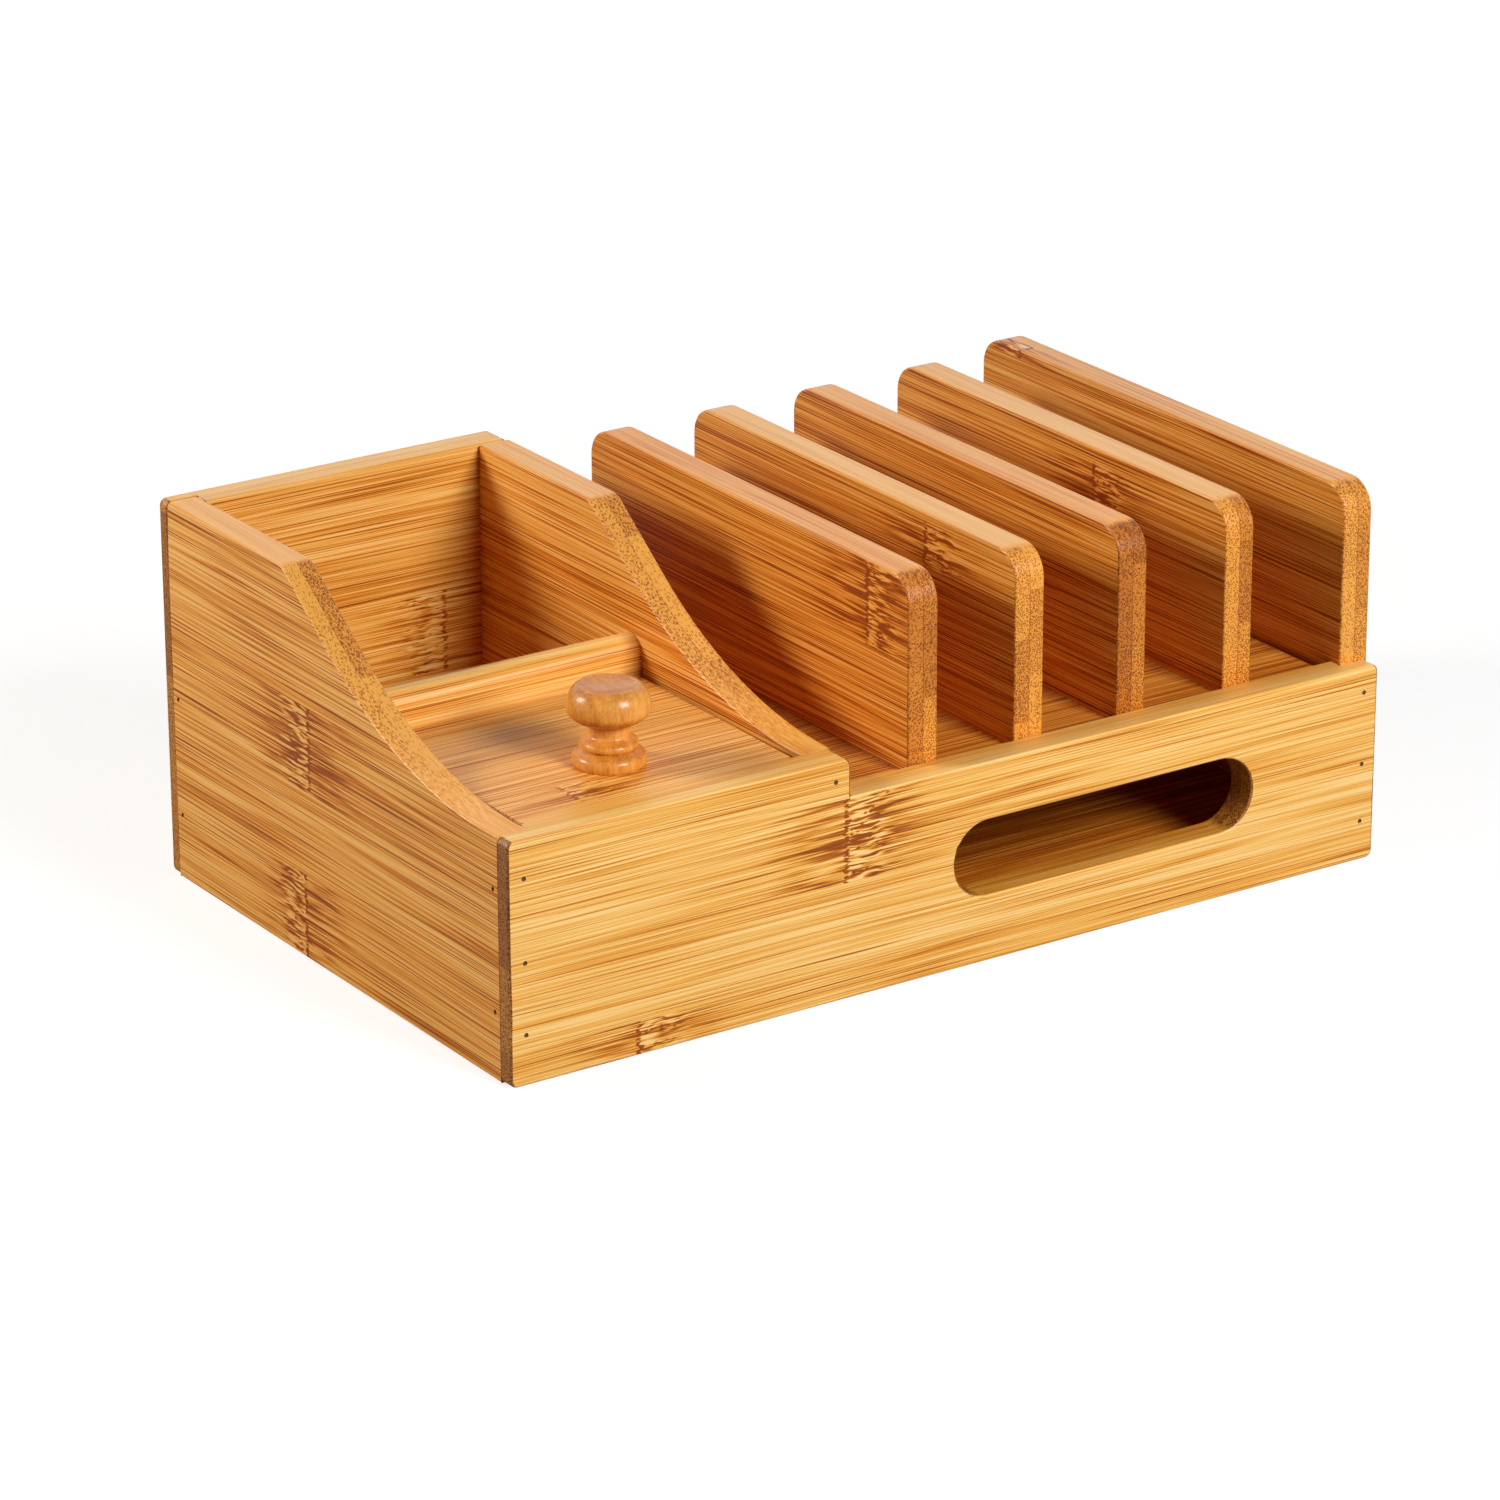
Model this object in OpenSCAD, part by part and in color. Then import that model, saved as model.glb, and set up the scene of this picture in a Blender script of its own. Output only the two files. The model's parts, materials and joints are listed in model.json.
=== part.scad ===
// Bamboo charging station: a lidded storage box and a tall bin stand beside a
// lift-out rack of device slots over a hollow for the chargers and their leads.
// The origin is the centre of the footprint, on the surface it stands on.

/* [Case] */
// Overall length, along X
case_w = 340; // [310:1:400]
// Overall depth, along Y
case_d = 215; // [200:1:260]
// Height of the tall boards and of the rack dividers
tall_h = 132; // [125:1:160]
// Height of the right end panel
end_h = 131; // [120:1:160]
// Height of the case at the front of the storage box
box_h = 82; // [76:0.5:95]
// Height of the front and back panels beside the rack
rack_h = 69; // [66:0.5:80]
// Thickness of the laminated boards
board = 11.5; // [9:0.5:14]
// Thickness of the front panel where it laps the side boards' ends
front_lap = 6; // [4:0.5:7]
// Thickness of the back panel where it laps the side boards' ends
back_lap = 5.2; // [4:0.2:7]
// Corner radius of the front and back panels
panel_corner_r = 2.5; // [1:0.5:5]

/* [Swept side boards] */
// Distance from the front to the start of the hollow curve
sweep_y = 14.5; // [12:0.5:20]
// Radius of the hollow curve
sweep_r = 157.5; // [130:0.5:170]
// Steepest angle of the curve, kept by the straight rise above it
sweep_angle = 36; // [32:1:40]
// Radius where the rise meets the level top
sweep_top_r = 8; // [3:0.5:12]
// Radius of the square top corners at the back
back_corner_r = 2; // [0.5:0.5:4]

/* [Storage] */
// Clear width of the storage box and the tall bin
storage_w = 104; // [90:1:115]
// Distance from the front to the storage divider
storage_div_y = 103.3; // [95:0.5:110]
// Height of the storage divider's round top
storage_div_h = 93.5; // [88:0.5:110]

/* [Base board] */
// Underside of the base board above the table
base_z = 6; // [4:0.5:10]
// Thickness of the base board
base_t = 6; // [4:0.5:8]
// Depth of the groove that holds the base board's edges
groove_d = 4; // [2:0.5:5]

/* [Lid] */
// Distance of the lid's top below the front panel's top
lid_drop = 1; // [0:0.5:4]
// Thickness of the lid
lid_t = 11.5; // [8:0.5:13]
// Gap between the lid and the boards at its sides
lid_side_gap = 1.5; // [0.5:0.1:3]
// Gap between the lid and the boards at its front and back
lid_end_gap = 1.1; // [0.5:0.1:3]
// Corner radius of the lid
lid_corner_r = 2.5; // [0.5:0.5:6]
// Distance of the knob from the lid's front edge
knob_y = 29; // [20:0.5:50]
// Width of the ledges under the lid's sides
lid_ledge_w = 8; // [6:0.5:12]
// Height of the ledges under the lid's sides
lid_ledge_h = 10; // [8:0.5:14]

/* [Knob] */
// Radius of the knob's foot
knob_foot_r = 11.9; // [10:0.1:14]
// Radius of the bead above the foot
knob_bead_r = 9.3; // [8.5:0.1:10]
// Radius of the neck
knob_neck_r = 6.6; // [5:0.1:8]
// Largest radius of the head
knob_head_r = 13.5; // [12:0.1:16]
// Height of the bead's widest line above the lid
knob_bead_h = 7.1; // [6:0.1:7.5]
// Height of the narrowest line of the neck above the lid
knob_neck_h = 10.1; // [9.8:0.1:11.5]
// Height of the knob above the lid
knob_h = 26.4; // [25:0.1:30]
// Height of the widest line of the head above the lid
knob_wide_h = 19.2; // [18.5:0.1:22]
// Radius of the shallow dish in the head's top
knob_dish_r = 9; // [5:0.5:10]
// Depth of that dish
knob_dish_d = 1; // [0.4:0.1:1.6]

/* [Device rack] */
// Width of the first device slot, beside the storage
slot_1_w = 30.2; // [24:0.1:34]
// Width of the second device slot
slot_2_w = 30.2; // [24:0.1:34]
// Width of the third device slot
slot_3_w = 29.7; // [24:0.1:34]
// Width of the fourth device slot; the fifth takes what is left
slot_4_w = 32.2; // [26:0.1:36]
// Distance of the deck's top below the front panel's top
deck_drop = 3; // [1:0.5:6]
// Thickness of the deck
deck_t = 11.5; // [9:0.5:14]
// Gap between the deck and the right end panel
deck_end_gap = 2; // [0.5:0.1:4]
// Gap between the rack and the back panel, where leads come up
rack_back_gap = 4.3; // [2:0.1:8]
// Radius of the dividers' top corners
divider_corner_r = 10; // [4:0.5:20]
// Width of the lead notches in the deck's back edge
notch_w = 14; // [10:0.5:18]
// Depth of the lead notches
notch_d = 10; // [8:0.5:16]
// Width of the ledges under the deck's ends
deck_ledge_w = 10; // [8:0.5:14]
// Height of the ledges under the deck's ends
deck_ledge_h = 12; // [8:0.5:14]

/* [Cable openings] */
// Length of the round-ended opening in the front panel
front_slot_w = 120; // [60:1:140]
// Length of the round-ended opening in the back panel
back_slot_w = 60; // [40:1:140]
// Height of both openings
slot_h = 26; // [20:0.5:30]
// Height of the openings' lower edge above the table
slot_z = 23; // [18:0.5:26]

/* [Fastenings] */
// Radius of the brads
brad_r = 0.8; // [0.6:0.1:1]
// Length of the brads through the case joints
brad_len = 30; // [20:1:32]
// Length of the brads through the ledges
ledge_brad_len = 16; // [14:0.5:18]
// Depth to which a brad's end is sunk
brad_sink = 0.4; // [0.2:0.1:0.8]
// Shank radius of the wood screws
screw_r = 1.75; // [1.5:0.05:2]
// Head radius of the wood screws
screw_head_r = 3.6; // [3:0.1:4]
// Length of the wood screws
screw_len = 30; // [22:1:32]
// Distance of the end screws from the ends of the board that they hold
screw_inset = 25; // [15:1:35]
// Height of the lowest brads above the base board
low_brad_rise = 5; // [4:0.5:8]
// Distance of the rack corners' highest brads below the rack's top edge
high_brad_drop = 9; // [7:0.5:14]
// Distance of the left side's upper brads below that edge
left_brad_drop = 5; // [3:0.5:6]
// Distance of the storage box's upper corner brad below the box's top edge
corner_brad_drop = 13; // [10:0.5:20]
// Distance of the brad into the middle board below the same edge
middle_brad_drop = 7; // [5:0.5:12]
// Distance of the tall corners' highest brads below the tall top
tall_brad_drop = 22; // [12:0.5:30]
// How far brads from two sides of a corner stand apart in height
brad_stagger = 6; // [4:0.5:8]

/* [Clearances] */
// Gap between pieces that lift out and the case
lift_gap = 0.3; // [0.2:0.05:0.5]
// Radial gap around a brad or a screw
fastener_gap = 0.02; // [0.01:0.01:0.05]

/* [Hidden] */
DIVIDERS = ["divider_1", "divider_2", "divider_3", "divider_4"];
$fn = 96;
over = 1; // how far a cut runs past the face it opens

inner_front = board;
inner_back = case_d - board;
middle_x = board + storage_w;
rack_x = middle_x + board;
end_x = case_w - board;
base_top = base_z + base_t;

lid_front = inner_front + lid_end_gap;
lid_back = storage_div_y - lid_end_gap;
lid_left = board + lid_side_gap;
lid_right = middle_x - lid_side_gap;
lid_top = box_h - lid_drop;
lid_under = lid_top - lid_t;
knob_at = [(lid_left + lid_right) / 2, lid_front + knob_y];

deck_top = rack_h - deck_drop;
deck_under = deck_top - deck_t;
deck_left = rack_x + lift_gap;
deck_right = end_x - deck_end_gap;
deck_front = inner_front + lift_gap;
deck_back = inner_back - rack_back_gap;

slot_ws = [slot_1_w, slot_2_w, slot_3_w, slot_4_w];
function divider_x(i) = slot_ws[i] + (i == 0 ? rack_x : divider_x(i - 1) + board);
function slot_left(i) = i == 0 ? rack_x : divider_x(i - 1) + board;
function slot_right(i) = i == len(slot_ws) ? end_x : divider_x(i);

// Points along an elliptical arc about a centre, from one angle to another
function arc(centre, radii, from, to, steps) =
    [for (i = [0:steps]) let (a = from + (to - from) * i / steps)
        [centre[0] + radii[0] * cos(a), centre[1] + radii[1] * sin(a)]];

bamboo_front = "#e3ad62";
bamboo_side = "#c98743";
bamboo_inner = "#b87536";
knob_tone = "#a85a2a";
steel_tone = "#9a9a98";

module in_place() { translate([-case_w / 2, -case_d / 2, 0]) children(); }

// A board sawn from an outline in X and Z, from y to y + t
module across_board(y, t) {
    translate([0, y + t, 0]) rotate([90, 0, 0]) linear_extrude(t) children();
}

// A board sawn from an outline in Y and Z, from x to x + t
module deep_board(x, t) {
    translate([x, 0, 0]) rotate([90, 0, 90]) linear_extrude(t) children();
}

// What rounding takes off the corner at the origin of an outline towards +X and +Y
module corner_waste(r) {
    difference() {
        translate([-over, -over]) square(r + over);
        translate([r, r]) circle(r);
    }
}

module panel_outline(storage_h) {
    difference() {
        union() {
            square([case_w, rack_h]);
            square([rack_x, storage_h]);
        }
        corner_waste(panel_corner_r);
        translate([case_w, 0]) mirror([1, 0]) corner_waste(panel_corner_r);
        translate([0, storage_h]) mirror([0, 1]) corner_waste(panel_corner_r);
        translate([rack_x, storage_h]) rotate(180) corner_waste(panel_corner_r);
        translate([case_w, rack_h]) rotate(180) corner_waste(panel_corner_r);
    }
}

// Round-ended opening, centred on the hollow under the rack
module cable_slot_outline(w) {
    r = slot_h / 2;
    translate([(rack_x + end_x) / 2, slot_z + r]) {
        square([w - slot_h, slot_h], center = true);
        for (side = [-1, 1]) translate([side * (w / 2 - r), 0]) circle(r);
    }
}

// Hollow curve, straight rise and level top of the storage's side boards
module swept_outline(front, back, foot) {
    curve_end = [sweep_y + sweep_r * sin(sweep_angle), box_h + sweep_r * (1 - cos(sweep_angle))];
    crest_y = curve_end[0] + (tall_h - curve_end[1]) / tan(sweep_angle);
    flat = sweep_top_r * tan(sweep_angle / 2);
    difference() {
        translate([front, foot]) square([back - front, tall_h - foot]);
        translate([front - over, box_h]) square([sweep_y - front + over, tall_h]);
        intersection() {
            translate([sweep_y, box_h + sweep_r]) circle(sweep_r, $fn = 360);
            translate([sweep_y - over / 10, box_h]) square([curve_end[0] - sweep_y + over / 10, tall_h]);
        }
        polygon([curve_end, [crest_y, tall_h], [crest_y, tall_h + over], [curve_end[0], tall_h + over]]);
        difference() {
            polygon([[crest_y - flat * cos(sweep_angle), tall_h - flat * sin(sweep_angle)],
                     [crest_y - over, tall_h + over], [crest_y + flat, tall_h + over],
                     [crest_y + flat, tall_h]]);
            translate([crest_y + flat, tall_h - sweep_top_r]) circle(sweep_top_r);
        }
        translate([back, tall_h]) rotate(180) corner_waste(back_corner_r);
    }
}

// Board on edge with both top corners rounded
module divider_outline(front, back, foot, top) {
    difference() {
        translate([front, foot]) square([back - front, top - foot]);
        translate([front, top]) mirror([0, 1]) corner_waste(divider_corner_r);
        translate([back, top]) rotate(180) corner_waste(divider_corner_r);
    }
}

module end_laps(from, to) {
    for (x = [-over, end_x]) translate([x, from, -over])
        cube([board + over, to - from, tall_h + 2 * over]);
}

// The space of the base board, whose edges stand in grooves
module base_shape() {
    inset = board - groove_d;
    translate([inset, inset, base_z]) cube([case_w - 2 * inset, case_d - 2 * inset, base_t]);
}

module brad(at, turn, length, gap = 0) {
    translate(at) rotate(turn) translate([0, 0, gap > 0 ? -over : brad_sink])
        cylinder(h = length - brad_sink + (gap > 0 ? over + brad_sink + gap : 0), r = brad_r + gap);
}

// Countersunk wood screw with its head at z = 0, pointing up
module screw(length, gap = 0) {
    head_h = screw_head_r - screw_r;
    rotate_extrude() polygon([
        [0, gap > 0 ? -over : 0], [screw_head_r + gap, gap > 0 ? -over : 0], [screw_head_r + gap, 0],
        [screw_r + gap, head_h], [screw_r + gap, length - screw_r + gap], [0, length + gap]]);
}

// Centres of the brads, across the case and up it
low_brad_z = base_top + low_brad_rise;
high_brad_z = rack_h - high_brad_drop;
left_xs = board / 2;
middle_xs = middle_x + board / 2;
right_xs = case_w - board / 2;
front_brad_at = [
    [left_xs, low_brad_z], [left_xs, box_h / 2], [left_xs, box_h - corner_brad_drop],
    [middle_xs, box_h - middle_brad_drop], [right_xs, low_brad_z - brad_stagger / 2],
    [right_xs, rack_h / 2], [right_xs, high_brad_z]];
back_brad_at = [
    for (x = [left_xs, middle_xs]) for (z = [low_brad_z, high_brad_z, tall_h - tall_brad_drop]) [x, z],
    for (z = [low_brad_z, rack_h / 2, high_brad_z]) [right_xs, z]];
side_brad_ys = [(front_lap + inner_front) / 2, (inner_back + case_d - back_lap) / 2];

module front_brad_set(gap = 0) {
    for (p = front_brad_at) brad([p[0], 0, p[1]], [-90, 0, 0], brad_len, gap);
}

module back_brad_set(gap = 0) {
    for (p = back_brad_at) brad([p[0], case_d, p[1]], [90, 0, 0], brad_len, gap);
}

module left_brad_set(gap = 0) {
    for (z = [low_brad_z + brad_stagger, rack_h - left_brad_drop]) for (y = side_brad_ys)
        brad([0, y, z], [0, 90, 0], brad_len, gap);
}

module right_brad_set(gap = 0) {
    for (z = [low_brad_z + brad_stagger, high_brad_z - brad_stagger]) for (y = side_brad_ys)
        brad([case_w, y, z], [0, -90, 0], brad_len, gap);
}

// Through the middle board into the end of the storage divider
module middle_brad_set(gap = 0) {
    for (z = [base_z + screw_len + brad_stagger, storage_div_h - board])
        brad([rack_x, storage_div_y + board / 2, z], [0, -90, 0], brad_len, gap);
}

module ledge_brad_set(gap = 0) {
    lid_z = lid_under - lift_gap - lid_ledge_h / 2;
    deck_z = deck_under - lift_gap - deck_ledge_h / 2;
    lid_ledge_d = storage_div_y - inner_front;
    for (y = [inner_front + lid_ledge_d / 4, inner_front + lid_ledge_d * 3 / 4]) {
        brad([board + lid_ledge_w, y, lid_z], [0, -90, 0], ledge_brad_len, gap);
        brad([middle_x - lid_ledge_w, y, lid_z], [0, 90, 0], ledge_brad_len, gap);
    }
    for (y = [inner_front + screw_inset, case_d / 2, inner_back - screw_inset]) {
        brad([rack_x + deck_ledge_w, y, deck_z], [0, -90, 0], ledge_brad_len, gap);
        brad([end_x - deck_ledge_w, y, deck_z], [0, 90, 0], ledge_brad_len, gap);
    }
}

// Up through the base board into the middle board and the storage divider
module base_screw_set(gap = 0) {
    for (y = [inner_front + screw_inset, case_d / 2 - board, inner_back - screw_inset])
        translate([middle_x + board / 2, y, base_z]) screw(screw_len, gap);
    for (x = [board + screw_inset, middle_x - screw_inset])
        translate([x, storage_div_y + board / 2, base_z]) screw(screw_len, gap);
}

// Up through the deck into each divider
module divider_screw_set(gap = 0) {
    for (i = [0:len(DIVIDERS) - 1])
        for (y = [deck_front + screw_inset, (deck_front + deck_back) / 2, deck_back - screw_inset])
            translate([divider_x(i) + board / 2, y, deck_under]) screw(screw_len, gap);
}

module knob_screw_shape(gap = 0) {
    translate([knob_at[0], knob_at[1], lid_under]) screw(screw_len, gap);
}

module front_panel() {
    color(bamboo_front) in_place() difference() {
        across_board(0, board) difference() {
            panel_outline(box_h);
            cable_slot_outline(front_slot_w);
        }
        end_laps(front_lap, board + over);
        base_shape();
        front_brad_set(fastener_gap);
        left_brad_set(fastener_gap);
        right_brad_set(fastener_gap);
    }
}

module back_panel() {
    color(bamboo_front) in_place() difference() {
        across_board(inner_back, board) difference() {
            panel_outline(tall_h);
            cable_slot_outline(back_slot_w);
        }
        end_laps(inner_back - over, case_d - back_lap);
        base_shape();
        back_brad_set(fastener_gap);
        left_brad_set(fastener_gap);
        right_brad_set(fastener_gap);
    }
}

module left_side_panel() {
    color(bamboo_side) in_place() difference() {
        deep_board(0, board) swept_outline(front_lap, case_d - back_lap, 0);
        base_shape();
        front_brad_set(fastener_gap);
        back_brad_set(fastener_gap);
        left_brad_set(fastener_gap);
        ledge_brad_set(fastener_gap);
    }
}

module middle_side_panel() {
    color(bamboo_side) in_place() difference() {
        deep_board(middle_x, board) swept_outline(inner_front, inner_back, base_top);
        front_brad_set(fastener_gap);
        back_brad_set(fastener_gap);
        middle_brad_set(fastener_gap);
        ledge_brad_set(fastener_gap);
        base_screw_set(fastener_gap);
    }
}

module right_end_panel() {
    color(bamboo_side) in_place() difference() {
        deep_board(end_x, board) divider_outline(front_lap, case_d - back_lap, 0, end_h);
        base_shape();
        front_brad_set(fastener_gap);
        back_brad_set(fastener_gap);
        right_brad_set(fastener_gap);
        ledge_brad_set(fastener_gap);
    }
}

module base_board() {
    color(bamboo_inner) in_place() difference() {
        base_shape();
        base_screw_set(fastener_gap);
    }
}

module storage_divider() {
    r = board / 2;
    color(bamboo_side) in_place() difference() {
        deep_board(board, storage_w) union() {
            translate([storage_div_y, base_top]) square([board, storage_div_h - r - base_top]);
            translate([storage_div_y + r, storage_div_h - r]) circle(r);
        }
        middle_brad_set(fastener_gap);
        base_screw_set(fastener_gap);
    }
}

module ledge(x, w, h, top, back) {
    color(bamboo_inner) in_place() difference() {
        translate([x, inner_front, top - h]) cube([w, back - inner_front, h]);
        ledge_brad_set(fastener_gap);
    }
}

module lid_ledge(x) { ledge(x, lid_ledge_w, lid_ledge_h, lid_under - lift_gap, storage_div_y); }

module deck_ledge(x) { ledge(x, deck_ledge_w, deck_ledge_h, deck_under - lift_gap, inner_back); }

module lid() {
    w = lid_right - lid_left;
    d = lid_back - lid_front;
    color(bamboo_front) in_place() difference() {
        translate([lid_left, lid_front, lid_under]) linear_extrude(lid_t) difference() {
            square([w, d]);
            for (sx = [0, 1]) for (sy = [0, 1])
                translate([sx * w, sy * d]) mirror([sx, 0]) mirror([0, sy]) corner_waste(lid_corner_r);
        }
        knob_screw_shape(fastener_gap);
    }
}

// Half outline of the turned knob, from its foot on the lid to the dish in its top
module knob_outline() {
    foot_edge = [1.3, 2.2];
    bead = [0.9, 1.4];
    neck = [1.6, 1.1];
    head_low = [knob_neck_r - 0.3, knob_wide_h];
    head_low_radii = [knob_head_r - head_low[0], knob_wide_h - knob_neck_h - 4.1];
    lip = [knob_head_r - knob_dish_r, knob_h - knob_wide_h];
    dish_arc_r = (pow(knob_dish_r, 2) + pow(knob_dish_d, 2)) / (2 * knob_dish_d);
    dish_half = asin(knob_dish_r / dish_arc_r);
    polygon(concat(
        [[0, 0], [knob_foot_r - 0.2, 0]],
        arc([knob_foot_r - foot_edge[0], foot_edge[1]], foot_edge, -30, 75, 8),
        arc([knob_bead_r - bead[0], knob_bead_h], bead, -50, 70, 6),
        arc([knob_neck_r + neck[0], knob_neck_h], neck, 250, 170, 6),
        arc(head_low, head_low_radii, -85, 0, 12),
        arc([knob_dish_r, knob_wide_h], lip, 6, 90, 12),
        arc([0, knob_h - knob_dish_d + dish_arc_r], [dish_arc_r, dish_arc_r], dish_half - 93, -90, 8)));
}

module lid_knob() {
    color(knob_tone) in_place() difference() {
        translate([knob_at[0], knob_at[1], lid_top]) rotate_extrude() knob_outline();
        knob_screw_shape(fastener_gap);
    }
}

module knob_screw() { color(steel_tone) in_place() knob_screw_shape(); }

module deck() {
    r = notch_w / 2;
    color(bamboo_side) in_place() difference() {
        translate([deck_left, deck_front, deck_under]) difference() {
            cube([deck_right - deck_left, deck_back - deck_front, deck_t]);
            for (i = [0:len(slot_ws)])
                translate([(slot_left(i) + slot_right(i)) / 2 - deck_left, deck_back - deck_front, -over])
                    linear_extrude(deck_t + 2 * over) {
                        translate([-r, r - notch_d]) square([notch_w, notch_d - r + over]);
                        translate([0, r - notch_d]) circle(r);
                    }
        }
        divider_screw_set(fastener_gap);
    }
}

module divider(i) {
    color(bamboo_side) in_place() difference() {
        deep_board(divider_x(i), board) divider_outline(deck_front, deck_back, deck_top, tall_h);
        divider_screw_set(fastener_gap);
    }
}

module divider_screws() { color(steel_tone) in_place() divider_screw_set(); }

module base_screws() { color(steel_tone) in_place() base_screw_set(); }

module front_brads() { color(steel_tone) in_place() front_brad_set(); }

module back_brads() { color(steel_tone) in_place() back_brad_set(); }

module left_side_brads() { color(steel_tone) in_place() left_brad_set(); }

module right_side_brads() { color(steel_tone) in_place() right_brad_set(); }

module middle_brads() { color(steel_tone) in_place() middle_brad_set(); }

module ledge_brads() { color(steel_tone) in_place() ledge_brad_set(); }

front_panel();
back_panel();
left_side_panel();
middle_side_panel();
right_end_panel();
base_board();
storage_divider();
lid_ledge(board);  // lid_ledge_left
lid_ledge(middle_x - lid_ledge_w);  // lid_ledge_right
deck_ledge(rack_x);  // deck_ledge_left
deck_ledge(end_x - deck_ledge_w);  // deck_ledge_right
lid();
lid_knob();
knob_screw();
deck();
for (i = [0:3]) divider(i);
divider_screws();
base_screws();
front_brads();
back_brads();
left_side_brads();
right_side_brads();
middle_brads();
ledge_brads();
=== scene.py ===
import json
import math

import bmesh
import bpy
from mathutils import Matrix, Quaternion, Vector
from mathutils.bvhtree import BVHTree


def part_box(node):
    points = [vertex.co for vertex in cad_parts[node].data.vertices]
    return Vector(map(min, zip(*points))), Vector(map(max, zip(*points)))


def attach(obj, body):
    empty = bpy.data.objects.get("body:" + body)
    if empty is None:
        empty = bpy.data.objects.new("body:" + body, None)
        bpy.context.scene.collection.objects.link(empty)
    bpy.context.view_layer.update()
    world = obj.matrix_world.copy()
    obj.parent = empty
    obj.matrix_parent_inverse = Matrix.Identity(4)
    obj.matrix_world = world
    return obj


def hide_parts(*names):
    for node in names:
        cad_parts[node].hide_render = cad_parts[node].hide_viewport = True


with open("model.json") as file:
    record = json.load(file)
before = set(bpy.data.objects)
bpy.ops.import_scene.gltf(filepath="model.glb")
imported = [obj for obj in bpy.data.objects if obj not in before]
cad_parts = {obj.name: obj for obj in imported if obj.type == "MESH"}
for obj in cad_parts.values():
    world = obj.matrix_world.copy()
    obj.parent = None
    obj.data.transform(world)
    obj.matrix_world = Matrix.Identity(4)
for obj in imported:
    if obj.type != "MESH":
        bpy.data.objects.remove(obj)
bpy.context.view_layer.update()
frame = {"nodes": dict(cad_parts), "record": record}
nodes = frame["nodes"]
bodyOf = {name: body for body, names in frame["record"]["behaviour"]["bodies"].items() for name in names}
mm = 0.001
fasteners = [name for name in nodes if name.endswith(("_brads", "_screws", "_screw"))]
boards = [name for name in nodes if name not in fasteners and name != "lid_knob"]

# Camera, lamps and floor

camera = {
    "eye": (-1.0920, -1.6218, 0.7992),
    "aim": (-0.0082, 0.0018, 0.0421),
    "lens": 151.07,  # on a 36 mm sensor
    "roll": -0.18,  # degrees
}
studio = {
    "front": {"azimuth": 10, "height": 30, "away": 1.5, "size": 0.5, "level": 0.95, "tint": (1.0, 1.0, 1.0)},
    "left": {"azimuth": -122, "height": 27, "away": 1.5, "size": 0.42, "level": 0.68, "tint": (1.0, 0.95, 0.86)},
    "aim": (0.0, 0.0, 0.06),
    "ambient": (0.01, 0.05),  # white on the object from the camera's side, and from the backdrop behind it
    "mirrored": (0.35, 1.45),  # the same for what glossy faces reflect
    "floorWhite": 0.42,
    "floorLift": (0.74, 1.0),  # what the camera sees on top of that, at the object and far from it
    "floorReach": (0.35, 1.1),
}


def addCamera(look):
    data = bpy.data.cameras.new("photoCamera")
    data.sensor_width = 36
    data.lens = look["lens"]
    data.clip_start, data.clip_end = 0.05, 50
    shot = bpy.data.objects.new("photoCamera", data)
    bpy.context.scene.collection.objects.link(shot)
    eye, aim = Vector(look["eye"]), Vector(look["aim"])
    shot.location = eye
    shot.rotation_mode = "QUATERNION"
    turn = Quaternion((0, 0, 1), math.radians(look["roll"]))
    shot.rotation_quaternion = (aim - eye).to_track_quat("-Z", "Y") @ turn
    bpy.context.scene.camera = shot


def addSoftbox(name, look, aim):
    azimuth, height = math.radians(look["azimuth"]), math.radians(look["height"])
    flat = math.cos(height)
    towards = Vector((math.sin(azimuth) * flat, -math.cos(azimuth) * flat, math.sin(height)))
    data = bpy.data.lights.new(name, "AREA")
    data.shape = "SQUARE"
    data.size = look["size"]
    data.color = look["tint"]
    data.energy = look["level"] * (math.pi * look["away"]) ** 2  # at 1 a facing colour shows as written
    lamp = bpy.data.objects.new(name, data)
    bpy.context.scene.collection.objects.link(lamp)
    lamp.location = Vector(aim) + towards * look["away"]
    lamp.rotation_mode = "QUATERNION"
    lamp.rotation_quaternion = (-towards).to_track_quat("-Z", "Y")


def nodeMaker(tree):
    def put(kind, inputs=None, **settings):
        node = tree.nodes.new(kind)
        for key, value in settings.items():
            setattr(node, key, value)
        for key, value in (inputs or {}).items():
            if isinstance(value, bpy.types.NodeSocket):
                tree.links.new(value, node.inputs[key])
            else:
                node.inputs[key].default_value = value
        return node

    return put


def mathMaker(put):
    def calc(operation, a, b=0.0, c=0.0, clamp=False):
        return put("ShaderNodeMath", {0: a, 1: b, 2: c}, operation=operation, use_clamp=clamp).outputs[0]

    return calc


def shaderTree(data):
    data.use_nodes = True
    data.node_tree.nodes.clear()
    return data.node_tree


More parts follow.
